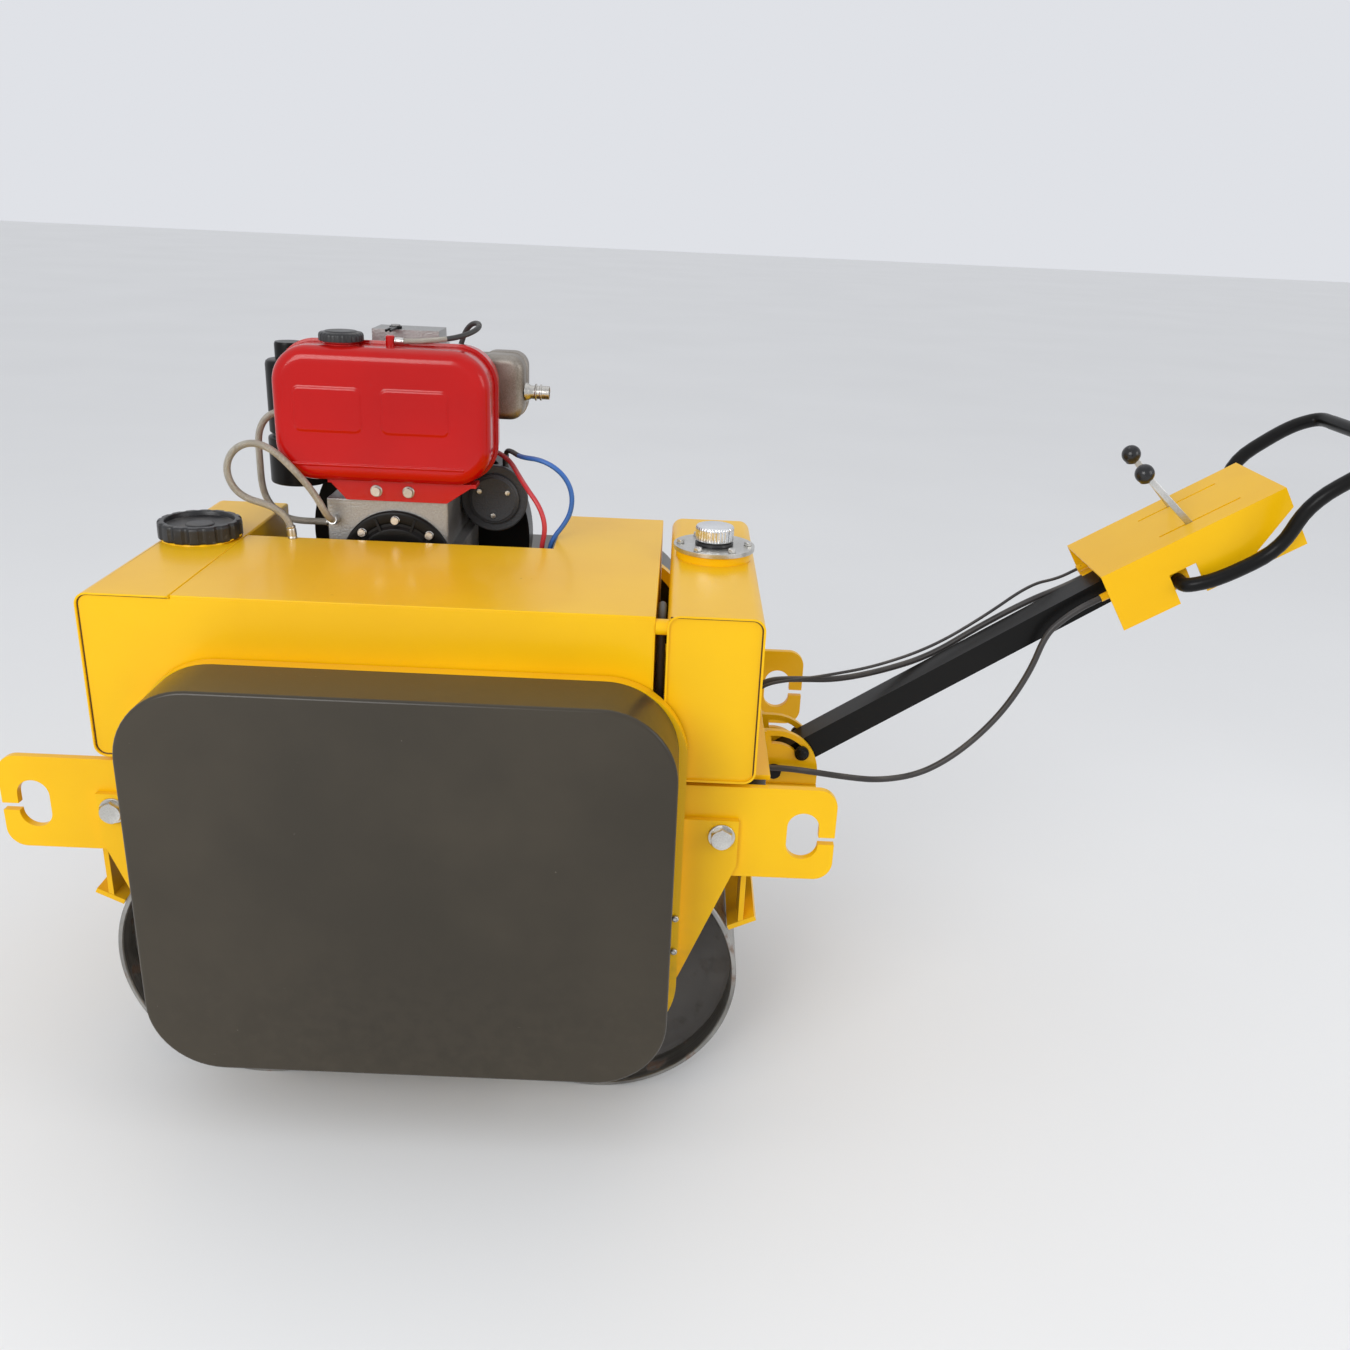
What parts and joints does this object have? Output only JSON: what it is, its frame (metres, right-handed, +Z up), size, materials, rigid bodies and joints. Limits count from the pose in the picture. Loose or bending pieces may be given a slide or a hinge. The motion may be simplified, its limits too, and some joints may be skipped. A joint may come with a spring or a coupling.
{
  "type": "walk behind vibratory roller",
  "caption": "Pedestrian roller with twin steel drums, gear case covers, engine deck, tanks and a tilting steering arm with levers and loop handle.",
  "frame": {"origin": "on the ground, at the middle of the machine's length and width, handle included", "axes": "+X towards the loop handle, +Y to the engine side, +Z up"},
  "size_m": [2.0001, 0.85, 1.139],
  "materials": {
    "yellow_paint": "gloss",
    "dark_paint": "satin",
    "black_paint": "satin",
    "red_paint": "gloss",
    "drum_steel": "satin",
    "machined_steel": "satin",
    "zinc": "satin",
    "chrome": "polished",
    "cast_metal": "cast",
    "engine_iron": "cast",
    "heat_steel": "matt",
    "rubber": "matt",
    "black_plastic": "matt",
    "knob_plastic": "gloss",
    "braided_hose": "braided",
    "lead_cover": "gloss"
  },
  "bodies": {
    "frame": {"idler_pins": "machined_steel", "travel_motor": "engine_iron", "drum_bearings": "engine_iron", "exciter_housing": "yellow_paint", "vibration_motor": "engine_iron", "side_plates": "yellow_paint", "cross_beams": "yellow_paint", "lifting_hooks": "yellow_paint", "hook_bolts": "zinc", "cover_rims": "yellow_paint", "near_cover": "dark_paint", "far_cover": "dark_paint", "cover_bolts": "zinc", "drum_scrapers": "yellow_paint", "rubber_mounts": "rubber", "bed_plate": "yellow_paint", "water_tank": "yellow_paint", "engine_hood": "yellow_paint", "hydraulic_tank": "yellow_paint", "filler_flange": "zinc", "flange_bolts": "zinc", "oil_hoses": "rubber", "water_pipes": "black_plastic", "battery": "black_plastic", "crankcase": "cast_metal", "pto_cover": "cast_metal", "hydraulic_pump": "engine_iron", "engine_cylinder": "engine_iron", "fuel_tank": "red_paint", "tank_bracket": "red_paint", "air_cleaner": "black_paint", "muffler": "heat_steel", "blower_shroud": "black_paint", "starter_motor": "black_paint", "fuel_hoses": "braided_hose", "battery_leads": "lead_cover", "pivot_bracket": "yellow_paint", "pivot_bolt": "black_paint", "control_cables": "rubber"},
    "front_drum_body": {"front_drum": "drum_steel", "front_drum_shaft": "machined_steel"},
    "rear_drum_body": {"rear_drum": "drum_steel", "rear_drum_shaft": "machined_steel"},
    "front_idler_body": {"front_idler_gear": "machined_steel"},
    "rear_idler_body": {"rear_idler_gear": "machined_steel"},
    "travel_drive_body": {"travel_gear": "machined_steel"},
    "exciter_body": {"exciter_shaft": "machined_steel"},
    "crank_body": {"crankshaft": "machined_steel"},
    "water_cap_body": {"water_cap": "yellow_paint"},
    "filler_cap_body": {"filler_cap": "chrome"},
    "fuel_cap_body": {"fuel_cap": "black_plastic"},
    "decompression_body": {"decompression_lever": "black_paint"},
    "arm_body": {"steering_arm": "black_paint", "clamp_bolt": "black_paint", "control_box": "yellow_paint"},
    "loop_body": {"loop_handle": "black_paint"},
    "near_lever_body": {"near_lever": "zinc", "near_knob": "knob_plastic"},
    "far_lever_body": {"far_lever": "zinc", "far_knob": "knob_plastic"}
  },
  "joints": [
    {"name": "front_drum_spin", "type": "hinge", "parent": "frame", "child": "front_drum_body", "pos_m": [-0.66106, 0, 0.2125], "axis": [0, 1, 0], "continuous": true},
    {"name": "front_idler_spin", "type": "hinge", "parent": "frame", "child": "front_idler_body", "pos_m": [-0.52906, 0, 0.2125], "axis": [0, 1, 0], "continuous": true},
    {"name": "travel_motor_spin", "type": "hinge", "parent": "frame", "child": "travel_drive_body", "pos_m": [-0.39706, 0, 0.2125], "axis": [0, 1, 0], "continuous": true},
    {"name": "rear_idler_spin", "type": "hinge", "parent": "frame", "child": "rear_idler_body", "pos_m": [-0.26506, 0, 0.2125], "axis": [0, 1, 0], "continuous": true},
    {"name": "rear_drum_spin", "type": "hinge", "parent": "frame", "child": "rear_drum_body", "pos_m": [-0.13306, 0, 0.2125], "axis": [0, 1, 0], "continuous": true},
    {"name": "exciter_spin", "type": "hinge", "parent": "frame", "child": "exciter_body", "pos_m": [-0.39706, 0, 0.43], "axis": [0, 1, 0], "continuous": true},
    {"name": "crank_spin", "type": "hinge", "parent": "frame", "child": "crank_body", "pos_m": [-0.49206, 0, 0.76], "axis": [0, 1, 0], "continuous": true},
    {"name": "water_cap_turn", "type": "hinge", "parent": "frame", "child": "water_cap_body", "pos_m": [-0.78656, -0.005, 0.811], "axis": [0, 0, 1], "range_deg": [0, 450]},
    {"name": "filler_cap_turn", "type": "hinge", "parent": "frame", "child": "filler_cap_body", "pos_m": [0.01694, 0, 0.8323], "axis": [0, 0, 1], "range_deg": [0, 360]},
    {"name": "fuel_cap_turn", "type": "hinge", "parent": "frame", "child": "fuel_cap_body", "pos_m": [-0.56906, 0.065, 1.1043], "axis": [0, 0, 1], "range_deg": [0, 90]},
    {"name": "decompression_turn", "type": "hinge", "parent": "frame", "child": "decompression_body", "pos_m": [-0.51006, 0.178, 1.1183], "axis": [0, 0, 1], "range_deg": [0, 75]},
    {"name": "arm_tilt", "type": "hinge", "parent": "frame", "child": "arm_body", "pos_m": [0.13394, 0, 0.462], "axis": [0, -1, 0], "range_deg": [0, 52], "deforming": ["control_cables"]},
    {"name": "loop_swing", "type": "hinge", "parent": "arm_body", "child": "loop_body", "pos_m": [0.72155, 0, 0.82625], "axis": [0, -1, 0], "range_deg": [-10, 10], "stiffness_Nm_per_rad": 150, "springref_deg": 2.86},
    {"name": "near_lever_swing", "type": "hinge", "parent": "arm_body", "child": "near_lever_body", "pos_m": [0.7958, 0, 0.85219], "axis": [0, -1, 0], "range_deg": [-47, 20]},
    {"name": "far_lever_swing", "type": "hinge", "parent": "arm_body", "child": "far_lever_body", "pos_m": [0.7958, 0, 0.85219], "axis": [0, -1, 0], "range_deg": [-42.5, 24.5]}
  ],
  "couplings": [
    {"joint": "front_idler_spin", "follows": "front_drum_spin", "ratio": -1},
    {"joint": "travel_motor_spin", "follows": "front_drum_spin", "ratio": 1},
    {"joint": "rear_idler_spin", "follows": "front_drum_spin", "ratio": -1},
    {"joint": "rear_drum_spin", "follows": "front_drum_spin", "ratio": 1}
  ]
}
